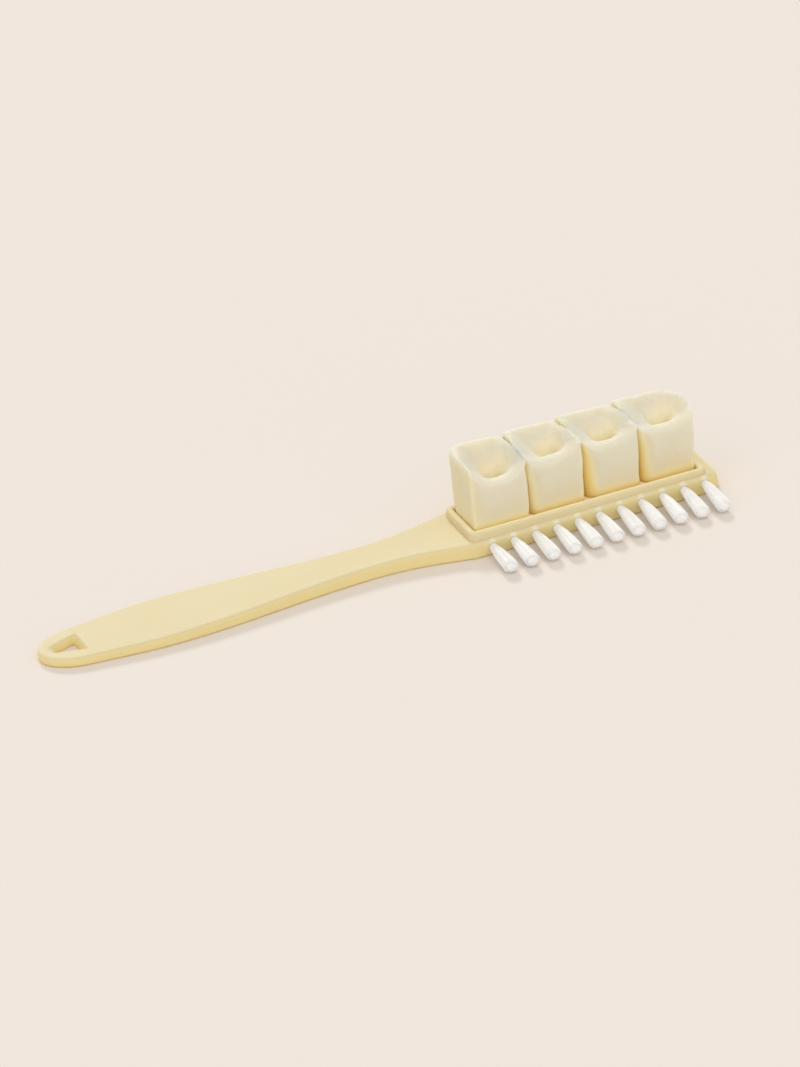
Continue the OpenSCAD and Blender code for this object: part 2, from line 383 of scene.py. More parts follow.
def body_outline():
    """Points round the body, seen from above, starting at the hanging end.

    One station lies at each tuft, so that a hole cuts into the edge between two faces. A hole
    inside one face leaves the Boolean a face with an island, which comes out folded.
    """
    corner_x = TIP_X - TIP_CORNER_R
    start = END_X + END_L
    stations = [END_X + END_L * (1 - math.cos(math.pi / 2 * i / END_STEPS))
                for i in range(1, END_STEPS)]
    stations += [start + (HEAD_X - start) * i / SIDE_STEPS for i in range(SIDE_STEPS)] + [HEAD_X]
    holes = [tuft_centre(i).x for i in range(1, TUFTS + 1)]
    stations += [x for a, b in zip(holes, holes[1:]) for x in (a, (a + b) / 2)] + holes[-1:]
    stations += [corner_x + TIP_CORNER_R * math.sin(math.pi / 2 * i / CORNER_STEPS)
                 for i in range(CORNER_STEPS + 1)]
    side = [Vector((x, -half_width(x))) for x in stations]
    return [Vector((END_X, 0))] + side + [Vector((p.x, -p.y)) for p in reversed(side)]


def outward(points, i):
    """Unit normal of the closed outline at point i."""
    along = points[(i + 1) % len(points)] - points[i - 1]
    return Vector((along.y, -along.x)).normalized()


def edge_radius(x):
    into_corner = (x - (TIP_X - TIP_CORNER_R)) / TIP_CORNER_R
    return EDGE_R if into_corner <= 0 else blend(EDGE_R, TIP_R, min(1, into_corner))


# %% Body skin
FOOT_ARC = [0, 30, 60, 90]
EDGE_ARC = [0, 15, 30, 45, 60, 75, 90]


def body_skin():
    bm = bmesh.new()
    outline = body_outline()
    normals = [outward(outline, i) for i in range(len(outline))]
    rings = []
    for angle in map(math.radians, FOOT_ARC):
        inset = FOOT_R * (1 - math.sin(angle))
        height = FOOT_R * (1 - math.cos(angle))
        rings.append(new_ring(bm, [(*(p - n * inset), height) for p, n in zip(outline, normals)]))
    for angle in map(math.radians, EDGE_ARC):
        points = []
        for p, n in zip(outline, normals):
            r = edge_radius(p.x)
            q = p - n * r * (1 - math.cos(angle))
            points.append((q.x, q.y, top_height(q.x) - r * (1 - math.sin(angle))))
        rings.append(new_ring(bm, points))
    bridge_rings(bm, rings)
    close_ring(bm, rings[0])
    close_ring(bm, rings[-1])
    print("body skin:", len(bm.faces), "faces in", len(rings), "rings")
    return bm


# %% [markdown]
# ## Rim, recess and holes
# The recess has a raised bead all round. A block with rounded corners gets its top face inset and
# pushed down, which leaves the bead standing, and a bevel rounds the bead's edges. A Boolean joins
# the block to the body and cuts the hanging hole and the tuft holes, as the mould does. In the
# picture the plastic rolls softly into the hanging hole, so its cutter widens upward. A bevel
# afterwards can't do that: the short edges of the hole's corners stop it early.

# %% Rim sizes
RIM_SIDE_W = 2.2 * MM
LEDGE = 1.5 * MM
TIP_LEDGE = 4.4 * MM
RIM_X0 = HEAD_X - 0.6 * MM
RIM_X1 = TIP_X - TIP_LEDGE
RIM_Y = HEAD_W / 2 - LEDGE
RIM_Z = handle_high.z
RIM_ROOT_Z = 4 * MM
RECESS_DEPTH = 2 * MM
RIM_OUTER_R = 2.4 * MM
RIM_ROUND = 0.8 * MM
FLOOR_ROUND = 0.3 * MM
FLOOR_Z = RIM_Z - RECESS_DEPTH
HOLE_D = 2.6 * MM
HOLE_DEPTH = 6.5 * MM
HANG_WALL = 2.3 * MM
HANG_L = 10 * MM
HANG_W = 10.2 * MM
HANG_END_R = 2.8 * MM
HANG_R = 0.8 * MM
# The hole at its foot and at its rim: both ends, from the hanging end, and half its width
HANG_FOOT = Vector((5.4, 12.9, 3.9)) * MM
HANG_RIM = Vector((2.2, 14.4, 5.5)) * MM
# Its wall is upright at the foot, then follows a quarter ellipse to just past the top face
HANG_STRAIGHT = 0.2 * MM
HANG_ARC = [16, 32, 44, 54, 63, 72, 80]
HANG_PAST = 1.04
# The cutter reaches from below the body to above it
CUT_LOW = -1 * MM
CUT_HIGH = 8 * MM
print("rim in mm:", round((RIM_X1 - RIM_X0) / MM, 1), "by", round(2 * RIM_Y / MM, 1))


def arc(centre, r, a, b, steps=8):
    """Points on an arc from angle a to angle b, in degrees."""
    turns = [math.radians(a + (b - a) * i / steps) for i in range(steps + 1)]
    return [Vector((centre[0] + r * math.cos(t), centre[1] + r * math.sin(t))) for t in turns]


def round_box(x0, x1, y0, y1, radii, steps=6):
    """A rectangle with round corners, seen from above: radii from front left, turning left."""
    corners = [(x0, y0, 180), (x1, y0, 270), (x1, y1, 0), (x0, y1, 90)]
    points = []
    for (x, y, start), r in zip(corners, radii):
        centre = (x + r if x == x0 else x - r, y + r if y == y0 else y - r)
        points += arc(centre, r, start, start + 90, steps)
    return points


def prism(bm, points, low, high):
    """A closed upright solid over a flat outline."""
    rings = [new_ring(bm, [(p.x, p.y, z) for p in points]) for z in (low, high)]
    bridge_rings(bm, rings)
    for ring in rings:
        close_ring(bm, ring)


# %% Rim block
def flat_faces(bm, height):
    """Faces that lie flat at a height."""
    return [f for f in bm.faces if all(abs(v.co.z - height) < 1e-6 for v in f.verts)]


def edges_at(bm, height):
    """Edges of the flat faces at a height that border on a face of another direction."""
    return list(dict.fromkeys(e for f in flat_faces(bm, height) for e in f.edges
                              if e.calc_face_angle(0) > math.radians(30)))


def bevel(bm, edges, offset, segments):
    bmesh.ops.bevel(bm, geom=edges, offset=offset, offset_type="OFFSET", affect="EDGES",
                    segments=segments, profile=0.5, material=-1, clamp_overlap=True)


def rim_block():
    bm = bmesh.new()
    prism(bm, round_box(RIM_X0, RIM_X1, -RIM_Y, RIM_Y, [RIM_OUTER_R] * 4), RIM_ROOT_Z, RIM_Z)
    bmesh.ops.recalc_face_normals(bm, faces=bm.faces)
    top = flat_faces(bm, RIM_Z)
    bmesh.ops.inset_region(bm, faces=top, thickness=RIM_SIDE_W, use_even_offset=True)
    recess = bmesh.ops.extrude_discrete_faces(bm, faces=top)["faces"]
    bmesh.ops.translate(bm, verts=list({v for f in recess for v in f.verts}),
                        vec=(0, 0, -RECESS_DEPTH))
    bevel(bm, edges_at(bm, RIM_Z), RIM_ROUND, 5)
    bevel(bm, edges_at(bm, FLOOR_Z), FLOOR_ROUND, 3)
    print("rim block:", len(bm.faces), "faces")
    return bm


# %% Cutters
def hanging_hole_outline():
    """A rounded triangle, seen from above: two small corners and a wide round end."""
    end = (END_X + HANG_WALL + HANG_END_R, 0)
    corner = (END_X + HANG_WALL + HANG_L - HANG_R, HANG_W / 2 - HANG_R)
    run = Vector(corner) - Vector(end)
    side = math.degrees(math.atan2(run.y, run.x) + math.acos((HANG_END_R - HANG_R) / run.length))
    return (arc((corner[0], -corner[1]), HANG_R, -side, 0) + arc(corner, HANG_R, 0, side)
            + arc(end, HANG_END_R, side, 360 - side, 16))


def hanging_hole_ring(bm, flare, height):
    """The hole's outline between its foot, where flare is 0, and its rim, where it is 1."""
    left, right, half = HANG_FOOT.lerp(HANG_RIM, flare)
    points = []
    for p in hanging_hole_outline():
        x = END_X + left + (right - left) * (p.x - END_X - HANG_WALL) / HANG_L
        points.append((x, half * p.y / (HANG_W / 2), height(x)))
    return new_ring(bm, points)


def hanging_hole_cutter(bm):
    """A plug that widens upward along a quarter ellipse."""
    rings = [hanging_hole_ring(bm, 0, lambda x: CUT_LOW),
             hanging_hole_ring(bm, 0, lambda x: HANG_STRAIGHT)]
    last = math.radians(HANG_ARC[-1])
    for angle in map(math.radians, HANG_ARC):
        rise = HANG_PAST * math.sin(angle) / math.sin(last)
        rings.append(hanging_hole_ring(bm, (1 - math.cos(angle)) / (1 - math.cos(last)),
                                       lambda x: rise * top_height(x)))
    rings.append(hanging_hole_ring(bm, 1, lambda x: CUT_HIGH))
    bridge_rings(bm, rings)
    close_ring(bm, rings[0])
    close_ring(bm, rings[-1])


def side_cylinder(bm, i, inward, r, length):
    """A round bar on the line of tuft i, with its middle so far inward from the head's side."""
    middle = tuft_centre(i) + Vector((0, inward, 0))
    bmesh.ops.create_cone(bm, cap_ends=True, segments=24, radius1=r, radius2=r, depth=length,
                          matrix=Matrix.Translation(middle) @ Matrix.Rotation(math.pi / 2, 4, "X"))


def cutters():
    """The hanging hole and the tuft holes. Those start 2 mm outside the head's side."""
    bm = bmesh.new()
    hanging_hole_cutter(bm)
    for i in range(1, TUFTS + 1):
        side_cylinder(bm, i, HOLE_DEPTH / 2 - MM, HOLE_D / 2, HOLE_DEPTH + 2 * MM)
    bmesh.ops.recalc_face_normals(bm, faces=bm.faces)
    return bm


# %% [markdown]
# ## Plastic
# The body is a satin moulding in pale yellow. Such plastic lets a little light in, so its edges
# glow instead of going grey: that is the subsurface weight. The colour drifts slightly, as pigment
# does in a cheap moulding. Above each tuft hole the colour turns whitish in a small spot. The
# spots are a rule on the place along the head, because no mesh edge lies there that could carry
# them. A second rule paints the colour deeper and more orange below the top face: painted shading
# of the side walls and of the hanging hole, against the paler top. A third paints an amber
# contact shade at the foot of the walls.

# %% Plastic material
PLASTIC_LIGHT = (0.81, 0.70, 0.43)
PLASTIC_DEEP = (0.795, 0.675, 0.40)
# Painted shading of the walls below the top face and of the hanging hole
PLASTIC_SIDE_SHADE = (0.88, 0.74, 0.365)
# A whitish spot above each tuft hole
PLASTIC_WHITE_SPOT = (0.90, 0.81, 0.60)
# Painted amber contact shade at the foot of the walls
PLASTIC_FOOT_SHADE = (0.82, 0.62, 0.26)
# Depth under the top face, and height above the floor, where painted shade begins and ends
SIDE_SHADE_FADE = (1.2 * MM, 0.2 * MM)
FOOT_SHADE_FADE = (0.2 * MM, 0.9 * MM)
# How far a face may turn down before it counts as the underside
DOWN_FADE = (-0.4, -0.8)
# A spot's height above its tuft, its edge, and how deep it goes into the head's side
SPOT_RISE = 1.9 * MM
SPOT_FADE = (0.3 * MM, 1.5 * MM)
SPOT_DEPTH = (0.7 * MM, 1.3 * MM)
TUFT_PITCH = (tuft_centre(TUFTS).x - tuft_centre(1).x) / (TUFTS - 1)


def place_node(nodes, links):
    """The place on the object, as separate X, Y and Z."""
    where = nodes.new("ShaderNodeTexCoord")
    xyz = nodes.new("ShaderNodeSeparateXYZ")
    links.new(where.outputs["Object"], xyz.inputs[0])
    return xyz


def painted_side_shade(nodes, links):
    """Share of painted side shade: 1 well below the body's sloping top face, 0 on it and above."""
    xyz = place_node(nodes, links)
    top = math_node(nodes, links, "MULTIPLY_ADD", xyz.outputs["X"], TOP_RISE, top_height(0))
    depth = math_node(nodes, links, "SUBTRACT", top, xyz.outputs["Z"])
    return fade_node(nodes, links, depth, *SIDE_SHADE_FADE)


def mix_colour(nodes, links, share, a, b):
    """Colour a where share is 0 and b where it is 1. Each is a colour or a socket."""
    mix = nodes.new("ShaderNodeMix")
    mix.data_type = "RGBA"
    links.new(share, mix.inputs["Factor"])
    for socket, colour in ((mix.inputs[6], a), (mix.inputs[7], b)):
        if isinstance(colour, tuple):
            socket.default_value = (*colour, 1)
        else:
            links.new(colour, socket)
    return mix.outputs[2]


def white_spots_above_holes(nodes, links):
    """How white the plastic is: up to 1 just above each tuft hole."""
    xyz = place_node(nodes, links)
    first = tuft_centre(1)
    from_first = math_node(nodes, links, "SUBTRACT", xyz.outputs["X"], first.x)
    along = math_node(nodes, links, "WRAP", from_first, TUFT_PITCH / 2, -TUFT_PITCH / 2)
    spot_z = math_node(nodes, links, "MULTIPLY_ADD", from_first, TOP_RISE, first.z + SPOT_RISE)
    above = math_node(nodes, links, "SUBTRACT", xyz.outputs["Z"], spot_z)
    squares = [math_node(nodes, links, "MULTIPLY", side, side) for side in (along, above)]
    away = math_node(nodes, links, "SQRT", math_node(nodes, links, "ADD", *squares))
    on_side = fade_node(nodes, links, xyz.outputs["Y"], *[first.y + d for d in SPOT_DEPTH])
    on_head = math_node(nodes, links, "GREATER_THAN", from_first, -TUFT_PITCH / 2)
    on_row = math_node(nodes, links, "MULTIPLY", on_side, on_head)
    return math_node(nodes, links, "MULTIPLY", on_row, fade_node(nodes, links, away, *SPOT_FADE))


def painted_foot_shade(nodes, links):
    """Share of painted contact shade: 1 at the lowest edge of the walls, 0 above it and on the
    underside.
    """
    facing = nodes.new("ShaderNodeSeparateXYZ")
    links.new(nodes.new("ShaderNodeNewGeometry").outputs["Normal"], facing.inputs[0])
    low = fade_node(nodes, links, place_node(nodes, links).outputs["Z"], *FOOT_SHADE_FADE)
    not_under = fade_node(nodes, links, facing.outputs["Z"], *DOWN_FADE)
    return math_node(nodes, links, "MULTIPLY", low, not_under)


def plastic_material():
    material, nodes, links, shader = new_material("satin_yellow_plastic")
    drift = noise_node(nodes, links, scale=22)
    ramp = ramp_node(nodes, links, drift.outputs["Fac"],
                     [(0.35, PLASTIC_DEEP), (0.65, PLASTIC_LIGHT)])
    colour = ramp.outputs["Color"]
    # Painted side shade below the top face, whitish spots, and painted contact shade at the foot
    for tint, share in ((PLASTIC_SIDE_SHADE, painted_side_shade), (PLASTIC_WHITE_SPOT, white_spots_above_holes),
                        (PLASTIC_FOOT_SHADE, painted_foot_shade)):
        colour = mix_colour(nodes, links, share(nodes, links), colour, tint)
    links.new(colour, shader.inputs["Base Color"])
    shader.inputs["Roughness"].default_value = 0.52
    shader.inputs["Specular IOR Level"].default_value = 0.12
    shader.inputs["Subsurface Weight"].default_value = 0.25
    shader.inputs["Subsurface Radius"].default_value = (1.0, 0.8, 0.35)
    shader.inputs["Subsurface Scale"].default_value = 1.5 * MM
    grain = noise_node(nodes, links, scale=2600, detail=2)
    add_bump(nodes, links, shader, grain.outputs["Fac"], distance=0.02 * MM, strength=0.6)
    return material


# %% [markdown]
# ## Joining and cutting
# The skin, the rim block and the cutters become one mesh, as the real body is one moulding. What
# the Boolean leaves behind, such as very short edges and faces with many corners, is cleaned up.
# Weighted normals then keep the flat faces flat beside the rounded edges.

# %% Join, cut and clean the body
CUT_WELD = 0.005 * MM
SHARP_BODY = math.radians(35)


def helper_object(name, bm):
    mesh = bpy.data.meshes.new(name)
    bm.to_mesh(mesh)
    bm.free()
    helper = bpy.data.objects.new(name, mesh)
    scene.collection.objects.link(helper)
    return helper


def add_boolean(piece, operation, other):
    """Joins or cuts with the exact solver, which copes with faces that touch."""
    modifier = piece.modifiers.new(operation.lower(), "BOOLEAN")
    modifier.operation = operation
    modifier.solver = "EXACT"
    modifier.object = other


def make_body():
    block = helper_object("rim_block", rim_block())
    holes = helper_object("cutters", cutters())
    piece = finish_piece("brush_body", body_skin(), plastic_material(), ["handle"])
    add_boolean(piece, "UNION", block)
    add_boolean(piece, "DIFFERENCE", holes)
    apply_modifiers(piece)
    for helper in (block, holes):
        bpy.data.objects.remove(helper)
    bm = bmesh.new()
    bm.from_mesh(piece.data)
    bmesh.ops.remove_doubles(bm, verts=bm.verts, dist=CUT_WELD)
    bmesh.ops.dissolve_degenerate(bm, edges=bm.edges, dist=CUT_WELD)
    bmesh.ops.triangulate(bm, faces=[f for f in bm.faces if len(f.verts) > 4])
    bm.to_mesh(piece.data)
    bm.free()
    piece.data.shade_smooth()
    piece.data.set_sharp_from_angle(angle=SHARP_BODY)
    weighted = piece.modifiers.new("flat_faces_stay_flat", "WEIGHTED_NORMAL")
    weighted.keep_sharp = True
    print("body:", len(piece.data.polygons), "faces")
    return piece


body = make_body()

# %% [markdown]
# ## Crepe rubber
# Natural crepe is milled rubber in thick strips, cream coloured, slightly clear, with a crumbly
# cut edge. Each strip is bent to a closed loop and glued down on its edge. Light gets far into
# it, which the subsurface weight carries. On top of that the colour holds painted light: a painted
# amber glow and shade in the gaps between the loops and near the glue, growing lower down, and a
# painted yellow glow deep in each hollow. The colour runs from pale at the top to honey and amber
# lower down, with fine grain over it. How much painted glow a point gets and how deep in a hollow
# it lies depend on its place in the loop, so the mesh carries both as the attributes painted_glow
# and hollow.

# %% Crepe material
# Ramp from the pale cut top down to honey and amber: painted glow and shade
CREPE_TOP = (0.82, 0.765, 0.61)
CREPE_WALL = (0.81, 0.775, 0.63)
CREPE_MID = (0.80, 0.725, 0.52)
CREPE_HONEY_GLOW = (0.83, 0.74, 0.46)
CREPE_AMBER_GLOW = (0.87, 0.70, 0.29)
# Painted light deep in each hollow, lighter and yellower than its walls
CREPE_HOLLOW_GLOW = (0.94, 0.86, 0.66)


def crepe_material():
    material, nodes, links, shader = new_material("natural_crepe")
    painted_glow, hollow = (nodes.new("ShaderNodeAttribute") for _ in range(2))
    painted_glow.attribute_name = "painted_glow"
    hollow.attribute_name = "hollow"
    drift = noise_node(nodes, links, scale=160)
    # Painted glow and shade from the mesh attribute, with a little random drift
    mixed = math_node(nodes, links, "MULTIPLY_ADD", drift.outputs["Fac"], 0.1, painted_glow.outputs["Fac"])
    ramp = ramp_node(nodes, links, mixed, [(0.03, CREPE_TOP), (0.17, CREPE_WALL),
                                           (0.35, CREPE_MID), (0.6, CREPE_HONEY_GLOW),
                                           (1, CREPE_AMBER_GLOW)])
    # Painted light in the hollows
    colour = mix_colour(nodes, links, hollow.outputs["Fac"], ramp.outputs["Color"], CREPE_HOLLOW_GLOW)
    links.new(colour, shader.inputs["Base Color"])
    shader.inputs["Roughness"].default_value = 0.7
    shader.inputs["Specular IOR Level"].default_value = 0.3
    shader.inputs["Subsurface Weight"].default_value = 0.9
    shader.inputs["Subsurface Radius"].default_value = (1.0, 0.85, 0.6)
    shader.inputs["Subsurface Scale"].default_value = 3 * MM
    grain = noise_node(nodes, links, scale=1500, detail=6)
    add_bump(nodes, links, shader, grain.outputs["Fac"], distance=0.2 * MM, strength=0.5)
    return material


# %% [markdown]
# ## Crepe loops
# Each loop is a strip of crepe closed to a ring, so it is modelled as one: a flat grid whose long
# way runs round the loop and whose short way runs round the strip's section. Every grid point gets
# its place by a rule, and the two seams are merged. The cut tops are uneven, so eight heights per
# loop, one for each corner and side, say how the top rises and falls. It stays low across the front
# wall and the hollow and climbs over the back wall. The hollow narrows downward, because the strip
# is pressed together where it is glued.

# %% Loop sizes
STRIP_T = 4.4 * MM
TOP_ROUND = 1.4 * MM
HOLLOW_ROUND = 1.5 * MM
HOLLOW_R = 3.1 * MM
HOLLOW_SHIFT = Vector((1.6, -0.3)) * MM
# How far the hollow narrows, over the top fifth of the strip
FUNNEL = 1.2 * MM
FUNNEL_SHARE = 5
# How late the cut top climbs towards the back, and how late from the middle to the sides
TOP_SLOPE = 2.8
SIDE_SLOPE = 1.4
# How much less the outer edge is rounded where two loops meet
SEAM_FLAT = 0.65
BULGE = 0.02
CORNER_STEPS_U = 8
SIDE_STEPS_U = 28
WALL_STEPS = 36
# Corner radii in mm at the foot: front left, front right, back right, back left
LOOP_RADII = [
    (0.9, 0.9, 1.4, 2.4), (3.2, 0.9, 1.2, 0.9), (3.4, 0.9, 1.2, 0.9), (3.2, 1.2, 1.2, 0.9)]
# The same at the top
LOOP_TOP_RADII = [
    (1.2, 1.2, 1.4, 2.4), (2.0, 1.2, 1.2, 0.9), (2.2, 1.2, 1.2, 0.9), (2.0, 1.4, 1.2, 0.9)]
# Top heights in mm: front left corner, front, front right corner, right side, and so on round
LOOP_TOPS = [
    (28.6, 21.7, 26.6, 27.6, 27.4, 29.7, 28.8, 29.2),
    (26.6, 23.9, 28.0, 28.6, 27.8, 29.5, 29.0, 28.2),
    (26.6, 23.6, 27.6, 28.5, 28.0, 29.6, 29.6, 28.4),
    (26.6, 23.9, 26.9, 29.2, 26.8, 29.2, 29.6, 28.4),
]
# How far in mm the foot of the front left corner is pinched to the right, the foot of the front
# is set back, and the top of the back wall leans to the left at its left and right end
LOOP_PINCH = [0.2, 1.2, 2.2, 1.6]
LOOP_SETBACK = [0, 0.7, 0.8, 1.0]
LOOP_LEAN = [(1.0, 1.3), (1.3, 2.3), (2.3, 2.2), (2.2, 0.3)]
# How far in mm each side spreads towards the next loop
LOOP_SPREAD = 0.55
# How much painted amber glow and shade each loop gets at its left and right side, and all elsewhere
LEFT_GLOW = [0.2, 0.45, 1.0, 0.75]
RIGHT_GLOW = [0.9, 0.9, 0.9, 0.05]
WALL_GLOW = 0.12
WALL_REACH = 2.5 * MM
FOOT_GLOW = 0.2
FOOT_REACH = 22 * MM
GLUE_GLOW = 0.5
GLUE_REACH = 4.5 * MM
HOLLOW_GLOW_REACH = 2.5 * MM
print("crepe strip:", round(STRIP_T / MM, 1), "mm thick")


# %% Places round a loop
def loop_outline(low, high, radii, inset):
    """Points round the loop, seen from above, at a distance inside its outer wall."""
    share = min(1, inset / STRIP_T)
    room = min(high.x - low.x, high.y - low.y) / 2 - inset
    arcs = []
    for (x, y, start), r in zip(((low.x, low.y, 180), (high.x, low.y, 270),
                                 (high.x, high.y, 0), (low.x, high.y, 90)), radii):
        r = min(r + (HOLLOW_R - r) * share, room)
        reach = inset + r
        centre = (x + reach if x == low.x else x - reach, y + reach if y == low.y else y - reach)
        arcs.append(arc(centre, r, start, start + 90, CORNER_STEPS_U))
    points = []
    for here, there in zip(arcs, arcs[1:] + arcs[:1]):
        points += here
        points += [here[-1].lerp(there[0], i / SIDE_STEPS_U) for i in range(1, SIDE_STEPS_U)]
    return [p + HOLLOW_SHIFT * share for p in points]


def clip(value):
    return min(1, max(0, value))


def section():
    """The strip's section from foot to foot: inset, share of the height, and drop under the top."""
    wall = [i / WALL_STEPS for i in range(WALL_STEPS)]
    quarter = [math.radians(a) for a in (0, 18, 36, 54, 72, 90)]
    rows = [(0, level, 0) for level in wall]
    rows += [(TOP_ROUND * (1 - math.cos(a)), 1, TOP_ROUND * (1 - math.sin(a))) for a in quarter]
    rows += [(STRIP_T - HOLLOW_ROUND * (1 - math.cos(a)), 1, HOLLOW_ROUND * (1 - math.sin(a)))
             for a in reversed(quarter)]
    rows += [(STRIP_T + FUNNEL * math.sin(math.pi / 2 * clip(FUNNEL_SHARE * (1 - level))), level, 0)
             for level in reversed(wall)]
    return rows


def top_of_loop(tops, across, back):
    """Height of the cut top at a place in the loop: a smooth surface over its eight heights."""
    across = math.copysign(abs(across) ** SIDE_SLOPE, across)
    front_left, front, front_right, right, back_right, rear, back_left, left = tops
    height = 0
    for x, y, z in ((1, 1, back_right), (-1, 1, back_left),
                    (-1, -1, front_left), (1, -1, front_right)):
        height += z * (1 + across * x) * (1 + back * y) * (across * x + back * y - 1) / 4
    height += (1 - across ** 2) * ((1 + back) * rear + (1 - back) * front) / 2
    height += (1 - back ** 2) * ((1 + across) * right + (1 - across) * left) / 2
    return height


def painted_glow_at(i, p, across, back, depth, inside):
    """How much painted amber glow and shade the crepe gets: in the gaps between loops and near the
    glue.

    A loop's left side faces the camera, so its painted glow begins halfway along the front.
    The right side is turned away and has it only at its very edge. Both deepen downward.
    """
    height = p.z - RIM_Z
    # Painted shade and glow, deeper under the cut top and lower down
    wall = WALL_GLOW * clip(depth / WALL_REACH) + FOOT_GLOW * (1 - clip(height / FOOT_REACH)) ** 1.5
    sides = [GLUE_GLOW * clip(1 - height / GLUE_REACH) ** 2]
    if not inside:
        left = clip((-across - 0.42) / 0.55) ** 1.8 * clip(0.3 + depth / (8 * MM))
        right = clip((across - 0.94) * 20) * clip(0.1 + depth / (4 * MM))
        sides += [left * LEFT_GLOW[i - 1], right * RIGHT_GLOW[i - 1]]
    return wall + max(sides)


# %% Make a loop
def cut_top(i, across, back, half):
    """Height of loop i's cut top. In the middle it stays low up to the back of the hollow."""
    across = max(-1, min(1, across))
    rim = 1 - STRIP_T / half.y
    middle = 2 * clip((back + rim) / (1 + rim)) ** TOP_SLOPE - 1
    at_side = max(-1, min(1, back / rim))
    to_back = middle + (at_side - middle) * across ** 2
    return top_of_loop([z * MM for z in LOOP_TOPS[i - 1]], across, to_back)


def loop_point(i, p, inset, level, drop, low, high):
    """Place and tints of one point of loop i, from its place in the outline and in the section."""
    centre = (low + high) / 2
    half = (high - low) / 2
    across = (p.x - centre.x) / half.x
    back = (p.y - centre.y) / half.y
    top = cut_top(i, across, back, half)
    inside = inset > STRIP_T / 2
    edge = HOLLOW_ROUND
    if not inside:
        at_seam = clip((abs(across) - 0.8) / 0.08) * clip((0.7 - back) / 0.3)
        edge = TOP_ROUND * (1 - SEAM_FLAT * at_seam)
        drop *= 1 - SEAM_FLAT * at_seam
    z = top - drop if level == 1 else low.z + (top - edge - low.z) * level
    rise = clip((z - low.z) / (high.z - low.z))
    swell = 1 + BULGE * math.sin(math.pi * rise ** 0.7)
    front_left = max(0, -across) * max(0, -back)
    lean = [amount * MM * rise ** 2 * (back + 1) / 2 for amount in LOOP_LEAN[i - 1]]
    place = Vector((
        centre.x + (p.x - centre.x) * swell + LOOP_SPREAD * MM * across * (1 + rise) / 2
        + LOOP_PINCH[i - 1] * MM * (1 - rise) * front_left
        - (lean[0] * (1 - across) + lean[1] * (1 + across)) / 2,
        centre.y + (p.y - centre.y) * swell
        + LOOP_SETBACK[i - 1] * MM * (1 - rise) * max(0, -back),
        z))
    # Painted glow in the hollow: how far under the cut top a point of its inner wall lies
    hollow = clip((top - z) / HOLLOW_GLOW_REACH) if inside else 0
    return place, painted_glow_at(i, place, across, back, top - z, inside), hollow


def loop_row(i, inset, level, drop, low, high):
    """All points of loop i at one place in the strip's section."""
    radii = [(foot + (top - foot) * level) * MM
             for foot, top in zip(LOOP_RADII[i - 1], LOOP_TOP_RADII[i - 1])]
    outline = loop_outline(low, high, radii, inset)
    return [loop_point(i, p, inset, level, drop, low, high) for p in outline]


def make_loop(i, material):
    """A grid wrapped both ways: round the loop, and round the strip's section."""
    node = f"crepe_loop_{i}"
    low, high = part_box(node)
    rows = [loop_row(i, *place, low, high) for place in section()]
    n, m = len(rows[0]), len(rows)
    bm = bmesh.new()
    bmesh.ops.create_grid(bm, x_segments=n, y_segments=m, size=0.5)
    # Painted glow and painted light in the hollow, carried by the mesh
    painted_glow = bm.verts.layers.float.new("painted_glow")
    hollow = bm.verts.layers.float.new("hollow")
    for v in bm.verts:
        row = rows[round((v.co.y + 0.5) * m) % m]
        v.co, v[painted_glow], v[hollow] = row[round((v.co.x + 0.5) * n) % n]
    piece = finish_piece(f"crepe_strip_{i}", bm, material, [node], 180)
    roughen(piece.data, low.z, i)
    print(node, "has", len(piece.data.polygons), "faces")


# %% [markdown]
# ## Rough surface
# Milled crepe is lumpy, and its cut edge crumbles. The mesh is fine enough to be pushed about by
# noise, so the roughness is real shape and not only a bump. The foot stays still, where the strip
# stands in the glue. The noise is given a seed first: without one, noise_vector takes its shifts
# from the clock, and every run makes other lumps.

# %% Rough surface of the crepe
NOISE_SEED = 1
LUMP_SIZE = 6 * MM
LUMP = 0.4 * MM
CRUMB_SIZE = 1.4 * MM
CRUMB = 0.28 * MM
# Lumps grow over the lowest part, and crumbs over a part higher up, from a quarter to full
LUMP_REACH = 4 * MM
CRUMB_START = 14 * MM
CRUMB_REACH = 6 * MM
CRUMB_LEAST = 0.25
FLATTEN = 0.6
CUT_LIMIT = 29.8 * MM


def uneven(p, size, amount, seed):
    """A smooth random push. Each loop has its own, and it is the same on every run."""
    return noise.noise_vector(p / size + Vector((seed, 2 * seed, 3 * seed))) * amount


def roughen(mesh, foot_z, seed):
    """Pushes every point a little: lumps on the walls, and crumbs that grow towards the cut top."""
    for v in mesh.vertices:
        lift = min(1, (v.co.z - foot_z) / LUMP_REACH)
        cut = clip((v.co.z - foot_z - CRUMB_START) / CRUMB_REACH)
        crumb = CRUMB * (CRUMB_LEAST + (1 - CRUMB_LEAST) * cut)
        push = uneven(v.co, LUMP_SIZE, LUMP * lift, seed)
        push += uneven(v.co, CRUMB_SIZE, crumb * lift, seed + 20)
        push.z *= FLATTEN
        v.co += push
        v.co.z = min(v.co.z, CUT_LIMIT)


noise.seed_set(NOISE_SEED)
crepe = crepe_material()
for i in range(1, LOOPS + 1):
    make_loop(i, crepe)

# %% [markdown]
# ## Glue
# The loops stand in a thin bed of set adhesive, which shows as an amber line at their feet. The
# frame's own bed has the right shape, so it stays and only gets a better material. Real glue
# pools and thins, which a slow noise in the colour stands for.

# %% Glue material
GLUE_COLOUR = (0.85, 0.53, 0.16)
GLUE_THICK = tuple(0.8 * c for c in GLUE_COLOUR)


